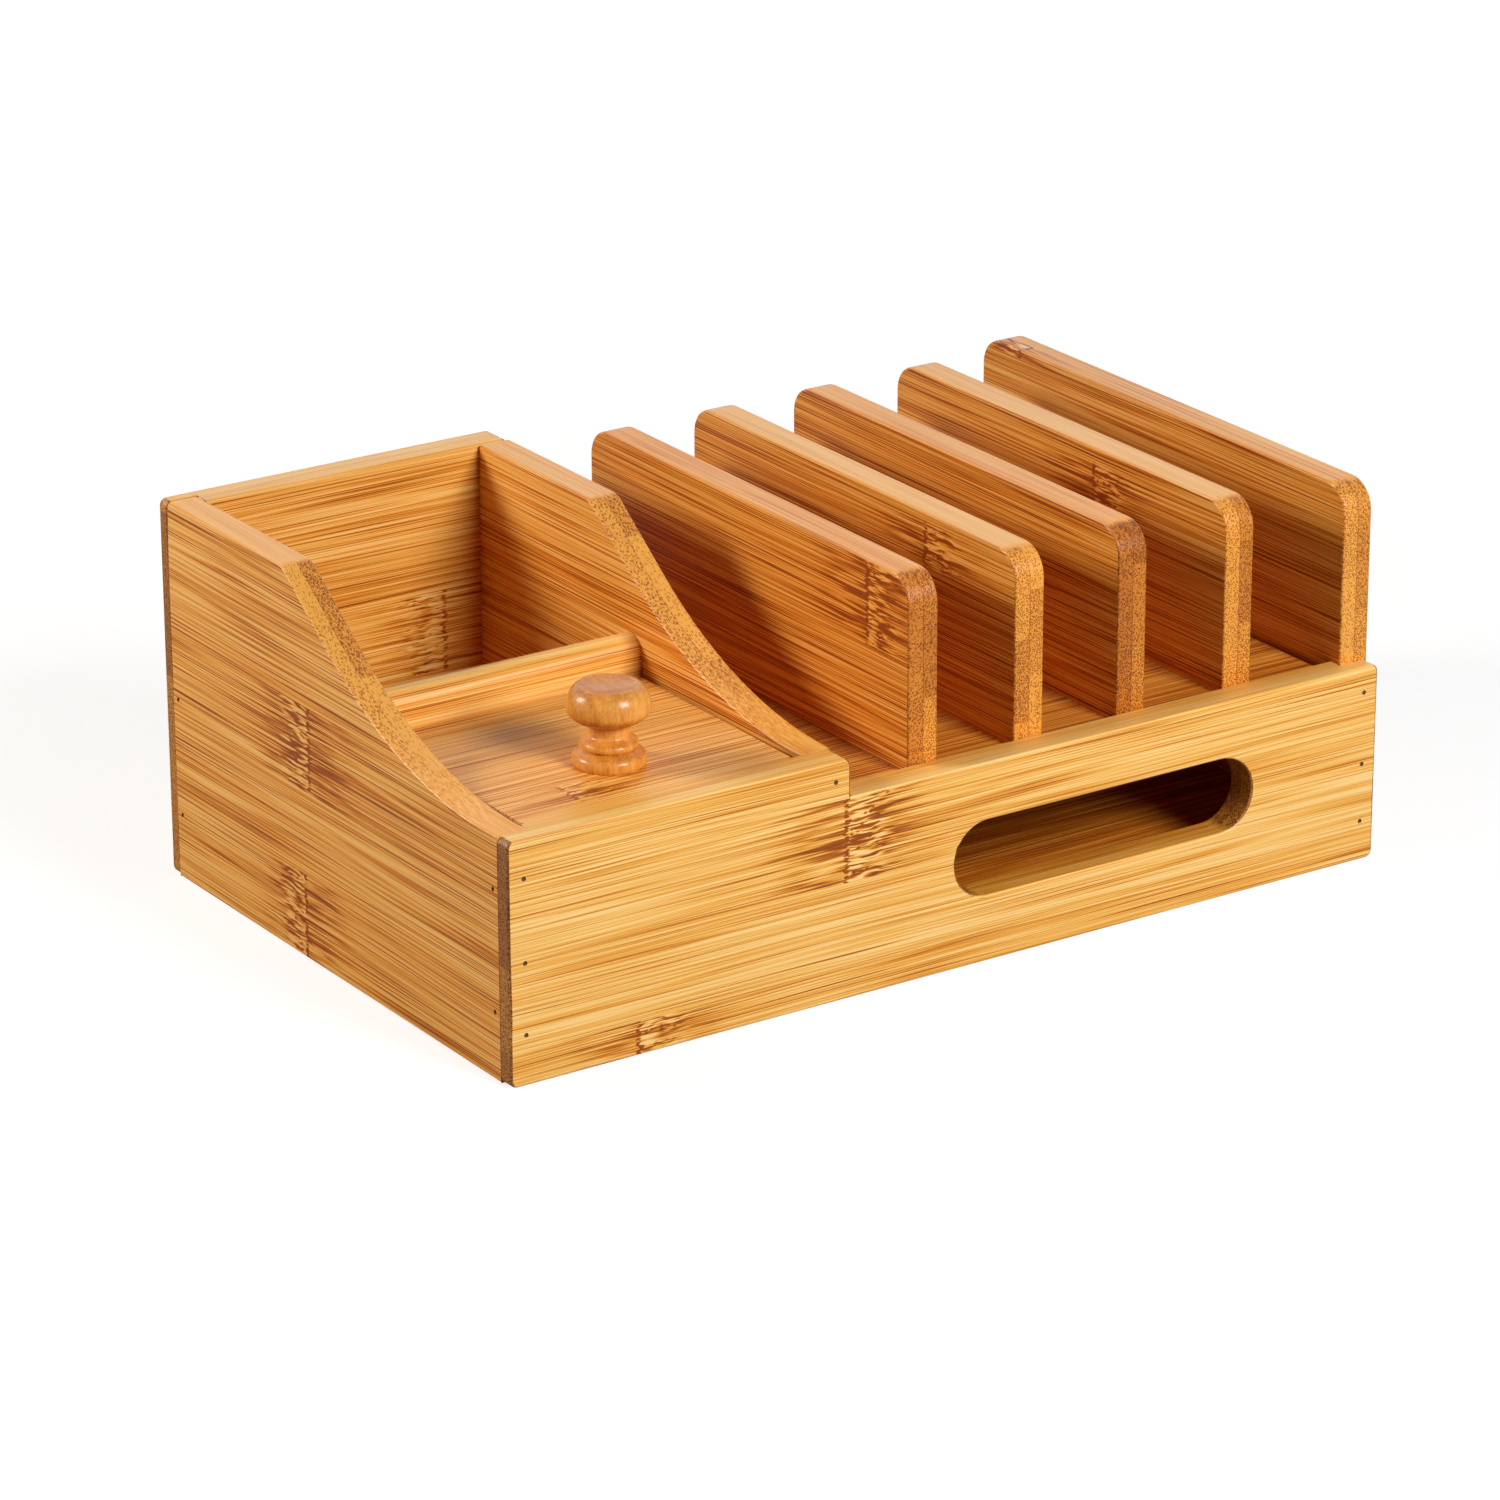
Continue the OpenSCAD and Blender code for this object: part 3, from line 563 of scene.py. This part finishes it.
def rimWidths(mesh, trees, edgeWidth):
    # Free edges are sanded round and joints stay tight; the width only changes on a straight run or at a corner
    weight = mesh.edges.layers.float.new("bevel_weight_edge")
    sharp = [edge for edge in mesh.edges if len(edge.link_faces) == 2
             and edge.calc_face_angle(0.0) > math.radians(boardShape["sharp"])]
    holes = smallRings(sharp, boardShape["holeSize"] * mm)
    free = {edge for edge in sharp if edge not in holes and not isJoint(edge, trees)}
    tight = [edge for edge in sharp if edge not in holes and edge not in free]
    while True:
        grown = []
        for edge in tight:
            for vert in edge.verts:
                bends = [bendAt(vert, edge, other) for other in vert.link_edges if other in free]
                if any(0.3 < bend < boardShape["sharp"] for bend in bends):
                    grown.append((edge, vert))
                    break
        if not grown:
            break
        for edge, vert in grown:
            run = boardShape["widthRun"] * mm
            if edge.calc_length() > 2 * run:
                piece, end = bmesh.utils.edge_split(edge, vert, run / edge.calc_length())
                near = piece if vert in piece.verts else edge
                far = edge if near is piece else piece
                tight.remove(edge)
                tight.append(far)
                free.add(near)
            else:
                tight.remove(edge)
                free.add(edge)
    for edge in tight:
        edge[weight] = boardShape["jointEdge"] / edgeWidth
    for edge in free:
        edge[weight] = 1.0


def addBoard(name, look):
    mesh = solidOf(name)
    others = [other for other in boards if other != name and touches(name, other, boardShape["touch"] * mm)]
    cutIntoPlainFaces(mesh, name, others)
    trees = []
    for other in others:
        neighbour = solidOf(other)
        trees.append(BVHTree.FromBMesh(neighbour))
        neighbour.free()
    edgeWidth = boardShape[look.get("edge", "freeEdge")]
    rimWidths(mesh, trees, edgeWidth)
    data = bpy.data.meshes.new(name + "Board")
    mesh.to_mesh(data)
    mesh.free()
    data.shade_smooth()
    board = bpy.data.objects.new(name + "Board", data)
    bpy.context.scene.collection.objects.link(board)
    bevel = board.modifiers.new("sandedEdges", "BEVEL")
    bevel.limit_method = "WEIGHT"
    bevel.width = edgeWidth * mm
    bevel.segments = boardShape["segments"]
    bevel.use_clamp_overlap = False
    bevel.loop_slide = False
    finishMesh(board)
    board.data.materials.clear()
    board.data.materials.append(bambooMaterial(name + "Bamboo", name, look))
    stand(board, name)
    return board


def applied(piece):
    bpy.context.view_layer.update()
    graph = bpy.context.evaluated_depsgraph_get()
    data = bpy.data.meshes.new_from_object(piece.evaluated_get(graph))
    piece.modifiers.clear()
    piece.data = data


def finishMesh(piece):
    applied(piece)
    piece.data.set_sharp_from_angle(angle=math.radians(40))
    shading = piece.modifiers.new("flatFaces", "WEIGHTED_NORMAL")
    shading.keep_sharp = True
    applied(piece)


def stand(piece, *names):
    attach(piece, bodyOf[names[0]])
    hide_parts(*names)


for name, look in boardLooks.items():
    addBoard(name, look)
print("boards are in place:", len(boardLooks))

# Turned knob

knob = {
    "footRadius": 11.9, "beadRadius": 9.3, "neckRadius": 6.6, "headRadius": 13.5,
    "footHeight": 5.5,  # where the foot's slope meets the bead
    "beadHeight": 7.1, "neckHeight": 10.1, "wideHeight": 19.2, "height": 26.4,
    "dishRadius": 9.0, "dishDepth": 1.0,
    "steps": 8,  # between two points of the outline
    "sides": 96,
}


def smoothLine(points, steps):
    line = []
    for i in range(len(points) - 1):
        a, b = points[i], points[i + 1]
        before, after = points[max(i - 1, 0)], points[min(i + 2, len(points) - 1)]
        for step in range(steps):
            t = step / steps
            line.append(tuple(0.5 * (2 * b0 + (c - a0) * t + (2 * a0 - 5 * b0 + 4 * c - d) * t * t
                                     + (3 * b0 - a0 - 3 * c + d) * t ** 3)
                              for a0, b0, c, d in zip(before, a, b, after)))
    return line + [points[-1]]


def knobOutline(look):
    foot, bead, neck, head = look["footRadius"], look["beadRadius"], look["neckRadius"], look["headRadius"]
    wide, top, rim = look["wideHeight"], look["height"], look["dishRadius"]
    base = [(foot - 0.5, 0.0), (foot - 0.15, 0.8), (foot, 2.1), (foot - 0.3, 3.4), (foot - 1.2, 4.4),
            (bead - 0.55, look["footHeight"])]
    ring = [(bead - 0.55, look["footHeight"]), (bead - 0.1, look["beadHeight"] - 0.8), (bead, look["beadHeight"]),
            (bead - 0.3, look["beadHeight"] + 0.8), (bead - 1.1, look["beadHeight"] + 1.5),
            (neck + 0.6, look["neckHeight"] - 0.75), (neck, look["neckHeight"] + 0.1),
            (neck + 0.1, look["neckHeight"] + 1.8), (neck + 0.25, look["neckHeight"] + 3.2)]
    rise, reach = wide - look["neckHeight"] - 4.1, head - neck + 0.3
    turns = [math.radians(x) for x in range(15, 90, 15)]
    under = [(neck - 0.3 + reach * math.sin(a), wide - rise * math.cos(a)) for a in turns]
    lip = [(rim + (head - rim) * math.cos(a), wide + (top - wide) * math.sin(a)) for a in [0.0] + turns]
    dish = [(rim * x, top - look["dishDepth"] * (1 - x * x)) for x in (1.0, 0.8, 0.6, 0.4, 0.2, 0.0)]
    steps = look["steps"]
    return [(0.0, 0.0)] + smoothLine(base, steps) + smoothLine(ring + under + lip + dish, steps)[1:]


def addKnob(look):
    low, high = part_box("lid_knob")
    centre = (low + high) / 2
    outline = knobOutline(look)
    verts, faces, sides = [], [], look["sides"]
    rings = [point for point in outline if point[0] > 0]
    for radius, height in rings:
        for i in range(sides):
            a = math.tau * i / sides
            verts.append((centre.x + radius * mm * math.cos(a), centre.y + radius * mm * math.sin(a),
                          low.z + height * mm))
    for ring in range(len(rings) - 1):
        for i in range(sides):
            j = (i + 1) % sides
            faces.append((ring * sides + i, ring * sides + j, (ring + 1) * sides + j, (ring + 1) * sides + i))
    last = (len(rings) - 1) * sides
    verts += [(centre.x, centre.y, low.z), (centre.x, centre.y, low.z + outline[-1][1] * mm)]
    for i in range(sides):
        j = (i + 1) % sides
        faces.append((len(verts) - 2, j, i))
        faces.append((len(verts) - 1, last + i, last + j))
    mesh = bpy.data.meshes.new("turnedKnob")
    mesh.from_pydata(verts, [], faces)
    mesh.shade_smooth()
    mesh.set_sharp_from_angle(angle=math.radians(50))
    piece = bpy.data.objects.new("turnedKnob", mesh)
    bpy.context.scene.collection.objects.link(piece)
    mesh.materials.append(knobMaterial(centre))
    stand(piece, "lid_knob")


def knobMaterial(centre):
    material = bpy.data.materials.new("turnedWood")
    put = nodeMaker(shaderTree(material))
    calc = mathMaker(put)
    texture = put("ShaderNodeTexCoord")
    local = put("ShaderNodeVectorMath", {0: texture.outputs["Object"], 1: tuple(centre)}, operation="SUBTRACT")
    point = put("ShaderNodeVectorMath", {0: local.outputs[0], 1: (1 / mm,) * 3}, operation="MULTIPLY").outputs[0]
    cloud = put("ShaderNodeTexNoise", {"Vector": stretched(put, point, (9, 9, 16)), "Scale": 1.0, "Detail": 2.0})
    ringPlace = calc("MULTIPLY_ADD", cloud.outputs["Fac"], 5.0,
                     put("ShaderNodeSeparateXYZ", {0: point}).outputs[0])
    rings = calc("SINE", calc("MULTIPLY", ringPlace, 1.7))
    streak = put("ShaderNodeTexNoise", {"Vector": stretched(put, point, (0.8, 0.8, 9)), "Scale": 1.0, "Detail": 2.0})
    fleck = put("ShaderNodeTexNoise", {"Vector": stretched(put, point, (0.28, 0.28, 2.2)), "Scale": 1.0,
                                       "Detail": 1.0})
    upward = put("ShaderNodeSeparateXYZ", {0: texture.outputs["Normal"]}).outputs[2]
    # Painted shade: the knob is darker on its upward faces and darker still on its downward ones
    paintedTopShade = put("ShaderNodeMapRange", {"Value": upward, "From Min": 0.3, "From Max": 1.0, "To Min": 0.0,
                                        "To Max": 0.22}).outputs[0]
    under = put("ShaderNodeMapRange", {"Value": upward, "From Min": -0.2, "From Max": -0.9, "To Min": 0.0,
                                       "To Max": 0.35}).outputs[0]
    tone = calc("MULTIPLY_ADD", rings, 0.035, calc("SUBTRACT", 0.62, calc("ADD", paintedTopShade, under)))
    tone = calc("MULTIPLY_ADD", calc("SUBTRACT", cloud.outputs["Fac"], 0.5), 0.6, tone)
    tone = calc("MULTIPLY_ADD", calc("SUBTRACT", streak.outputs["Fac"], 0.5), 0.5, tone)
    tone = calc("MULTIPLY_ADD", calc("SUBTRACT", fleck.outputs["Fac"], 0.5), 0.5, tone)
    ramp = put("ShaderNodeValToRGB", {0: tone})
    setRamp(ramp, [(0.0, (0.30, 0.065, 0.005)), (0.35, (0.56, 0.175, 0.018)), (0.6, (0.76, 0.310, 0.048)),
                   (1.0, (0.92, 0.50, 0.13))])
    bump = put("ShaderNodeBump", {"Strength": 0.1, "Distance": 0.0001, "Height": fleck.outputs["Fac"]})
    shader = put("ShaderNodeBsdfPrincipled", {
        "Base Color": ramp.outputs["Color"], "Roughness": 0.36, "Normal": bump.outputs[0],
        "Specular IOR Level": 0.2, "Coat Weight": 0.35, "Coat Roughness": 0.22})
    put("ShaderNodeOutputMaterial", {"Surface": shader.outputs[0]})
    return material


addKnob(knob)
print("knob is in place")

# Brads and screws: one tree each, copied to the middle of every hole's own fastener

brads = {"radius": 0.8, "dish": 0.12, "sides": 24, "dark": (0.13, 0.055, 0.02), "steel": (0.33, 0.24, 0.15)}
screws = {
    "headRadius": 3.6, "headHeight": 1.85, "shankRadius": 1.2, "threadRadius": 1.72, "turns": 9,
    "crossWidth": 0.75, "crossLength": 3.4, "crossDepth": 1.1, "sides": 32,
    "zinc": (0.62, 0.62, 0.60),
}


def newTree(name, sockets):
    tree = bpy.data.node_groups.new(name, "GeometryNodeTree")
    tree.interface.new_socket("Geometry", in_out="INPUT", socket_type="NodeSocketGeometry")
    for label, kind in sockets.items():
        tree.interface.new_socket(label, in_out="INPUT", socket_type=kind)
    tree.interface.new_socket("Geometry", in_out="OUTPUT", socket_type="NodeSocketGeometry")
    return tree


def standOnPoints(put, given, shape, tree):
    aim = put("GeometryNodeInputNamedAttribute", {"Name": "aim"}, data_type="FLOAT_VECTOR")
    turn = put("FunctionNodeAlignRotationToVector", {"Vector": aim.outputs["Attribute"]}, axis="Z")
    copies = put("GeometryNodeInstanceOnPoints", {"Points": given["Geometry"], "Instance": shape,
                                                  "Rotation": turn.outputs["Rotation"]})
    real = put("GeometryNodeRealizeInstances", {"Geometry": copies.outputs["Instances"]})
    dressed = put("GeometryNodeSetMaterial", {"Geometry": real.outputs["Geometry"], "Material": given["Finish"]})
    put("NodeGroupOutput", {"Geometry": dressed.outputs["Geometry"]})


def bradTree():
    tree = newTree("bradSet", {"Radius": "NodeSocketFloat", "Length": "NodeSocketFloat", "Dish": "NodeSocketFloat",
                               "Sides": "NodeSocketInt", "Finish": "NodeSocketMaterial"})
    put = nodeMaker(tree)
    calc = mathMaker(put)
    given = put("NodeGroupInput").outputs
    pin = put("GeometryNodeMeshCylinder", {"Vertices": given["Sides"], "Radius": given["Radius"],
                                           "Depth": given["Length"], "Side Segments": 1, "Fill Segments": 3},
              fill_type="TRIANGLE_FAN")
    place = put("ShaderNodeSeparateXYZ", {0: put("GeometryNodeInputPosition").outputs[0]}).outputs
    outward = put("ShaderNodeVectorMath", {0: put("ShaderNodeCombineXYZ", {0: place[0], 1: place[1]}).outputs[0]},
                  operation="LENGTH").outputs["Value"]
    atHead = calc("LESS_THAN", place[2], 0.0)
    bowl = calc("SUBTRACT", 1.0, calc("POWER", calc("DIVIDE", outward, given["Radius"]), 2.0))
    sink = calc("MULTIPLY", calc("MULTIPLY", bowl, given["Dish"]), atHead)
    dished = put("GeometryNodeSetPosition", {"Geometry": pin.outputs["Mesh"],
                                             "Offset": put("ShaderNodeCombineXYZ", {2: sink}).outputs[0]})
    half = calc("MULTIPLY", given["Length"], 0.5)
    seated = put("GeometryNodeTransform", {"Geometry": dished.outputs[0],
                                           "Translation": put("ShaderNodeCombineXYZ", {2: half}).outputs[0]})
    standOnPoints(put, given, seated.outputs[0], tree)
    return tree


def screwTree():
    tree = newTree("screwSet", {"Head Radius": "NodeSocketFloat", "Head Height": "NodeSocketFloat",
                                "Shank Radius": "NodeSocketFloat", "Thread Radius": "NodeSocketFloat",
                                "Length": "NodeSocketFloat", "Turns": "NodeSocketFloat",
                                "Cross Width": "NodeSocketFloat", "Cross Length": "NodeSocketFloat",
                                "Cross Depth": "NodeSocketFloat", "Sides": "NodeSocketInt",
                                "Finish": "NodeSocketMaterial"})
    put = nodeMaker(tree)
    calc = mathMaker(put)
    given = put("NodeGroupInput").outputs

    def lifted(geometry, height):
        return put("GeometryNodeTransform", {
            "Geometry": geometry, "Translation": put("ShaderNodeCombineXYZ", {2: height}).outputs[0]}).outputs[0]

    head = put("GeometryNodeMeshCone", {"Vertices": given["Sides"], "Radius Top": given["Shank Radius"],
                                        "Radius Bottom": given["Head Radius"], "Depth": given["Head Height"]})
    arms = []
    for x, y in (("Cross Length", "Cross Width"), ("Cross Width", "Cross Length")):
        cut = put("ShaderNodeCombineXYZ", {0: given[x], 1: given[y], 2: calc("MULTIPLY", given["Cross Depth"], 2.0)})
        arms.append(put("GeometryNodeMeshCube", {"Size": cut.outputs[0]}).outputs["Mesh"])
    recess = put("GeometryNodeMeshBoolean", {"Mesh 1": head.outputs["Mesh"]}, operation="DIFFERENCE", solver="EXACT")
    for arm in arms:
        tree.links.new(arm, recess.inputs["Mesh 2"])
    tip = calc("MULTIPLY", given["Thread Radius"], 1.6)
    body = calc("SUBTRACT", calc("SUBTRACT", given["Length"], given["Head Height"]), tip)
    shank = put("GeometryNodeMeshCone", {"Vertices": given["Sides"], "Radius Top": given["Shank Radius"],
                                         "Radius Bottom": given["Shank Radius"], "Depth": body})
    point = put("GeometryNodeMeshCone", {"Vertices": given["Sides"], "Radius Top": 0.0,
                                         "Radius Bottom": given["Shank Radius"], "Depth": tip})
    bodyStart = given["Head Height"]
    helix = put("GeometryNodeCurveSpiral", {"Resolution": 20, "Rotations": given["Turns"],
                                            "Start Radius": given["Shank Radius"],
                                            "End Radius": given["Shank Radius"],
                                            "Height": calc("MULTIPLY", body, 0.8)})
    ridge = calc("SUBTRACT", given["Thread Radius"], given["Shank Radius"])
    edge = put("GeometryNodeCurvePrimitiveCircle", {"Resolution": 3, "Radius": ridge})
    thread = put("GeometryNodeCurveToMesh", {"Curve": helix.outputs["Curve"], "Profile Curve": edge.outputs["Curve"],
                                             "Fill Caps": True})
    whole = put("GeometryNodeJoinGeometry")
    for part in (recess.outputs["Mesh"], lifted(shank.outputs["Mesh"], bodyStart),
                 lifted(point.outputs["Mesh"], calc("ADD", bodyStart, body)),
                 lifted(thread.outputs["Mesh"], calc("MULTIPLY_ADD", body, 0.2, bodyStart))):
        tree.links.new(part, whole.inputs[0])
    standOnPoints(put, given, whole.outputs[0], tree)
    return tree


def setInputs(modifier, values):
    for item in modifier.node_group.interface.items_tree:
        if item.in_out == "INPUT" and item.name in values:
            modifier[item.identifier] = values[item.name]


def addFasteners(node, tree, values, axis, material):
    # Every fastener's head lies at the end of its box that faces out of the board
    heads, aims, lengths = [], [], []
    for low, high in islandsOf(node):
        middle = (low + high) / 2
        size = high - low
        run = max(range(3), key=lambda i: size[i]) if axis is None else axis[0]
        way = axis[1] if axis else outward(node, middle, run)
        start = middle.copy()
        start[run] = low[run] if way > 0 else high[run]
        heads.append(start)
        aims.append([float(way) if i == run else 0.0 for i in range(3)])
        lengths.append(size[run])
    mesh = bpy.data.meshes.new(node + "Set")
    mesh.from_pydata(heads, [], [])
    mesh.attributes.new("aim", "FLOAT_VECTOR", "POINT").data.foreach_set("vector", [x for aim in aims for x in aim])
    piece = bpy.data.objects.new(node + "Set", mesh)
    bpy.context.scene.collection.objects.link(piece)
    copies = piece.modifiers.new("copies", "NODES")
    copies.node_group = tree
    setInputs(copies, {**values, "Length": lengths[0], "Finish": material})
    applied(piece)
    piece.data.set_sharp_from_angle(angle=math.radians(35))
    stand(piece, node)


def outward(node, middle, run):
    # Brads go in from the nearer outer face
    if node == "middle_brads":
        return -1
    if node == "ledge_brads":
        lows = [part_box(name) for name in boards if "ledge" in name]
        ledge = min(lows, key=lambda corners: ((corners[0] + corners[1]) / 2 - middle).length)
        return 1 if middle.x > (ledge[0].x + ledge[1].x) / 2 else -1
    return 1 if middle[run] < 0 else -1


def plainMetal(name, look, rough, metallic):
    material = bpy.data.materials.new(name)
    put = nodeMaker(shaderTree(material))
    texture = put("ShaderNodeTexCoord")
    point = put("ShaderNodeVectorMath", {0: texture.outputs["Object"], 1: (1 / mm,) * 3}, operation="MULTIPLY")
    grit = put("ShaderNodeTexNoise", {"Vector": point.outputs[0], "Scale": 1.4, "Detail": 3.0})
    ramp = put("ShaderNodeValToRGB", {0: grit.outputs["Fac"]})
    setRamp(ramp, [(0.3, tuple(x * 0.75 for x in look)), (0.7, look)])
    roughness = put("ShaderNodeMapRange", {"Value": grit.outputs["Fac"], "To Min": rough - 0.1,
                                           "To Max": rough + 0.1})
    bump = put("ShaderNodeBump", {"Strength": 0.2, "Distance": 0.00005, "Height": grit.outputs["Fac"]})
    shader = put("ShaderNodeBsdfPrincipled", {"Base Color": ramp.outputs["Color"], "Roughness": roughness.outputs[0],
                                              "Metallic": metallic, "Normal": bump.outputs[0]})
    put("ShaderNodeOutputMaterial", {"Surface": shader.outputs[0]})
    return material


bradFinish = plainMetal("filledBrad", brads["dark"], 0.7, 0.0)
zinc = plainMetal("zincPlate", screws["zinc"], 0.3, 1.0)
bradValues = {"Radius": brads["radius"] * mm, "Dish": brads["dish"] * mm, "Sides": brads["sides"]}
screwValues = {"Head Radius": screws["headRadius"] * mm, "Head Height": screws["headHeight"] * mm,
               "Shank Radius": screws["shankRadius"] * mm, "Thread Radius": screws["threadRadius"] * mm,
               "Turns": float(screws["turns"]), "Cross Width": screws["crossWidth"] * mm,
               "Cross Length": screws["crossLength"] * mm, "Cross Depth": screws["crossDepth"] * mm,
               "Sides": screws["sides"]}
bradNodes, screwNodes = bradTree(), screwTree()
for name in fasteners:
    if name.endswith("_brads"):
        addFasteners(name, bradNodes, bradValues, None, bradFinish)
    else:
        addFasteners(name, screwNodes, screwValues, (2, 1), zinc)
print("fasteners are in place:", len(fasteners))
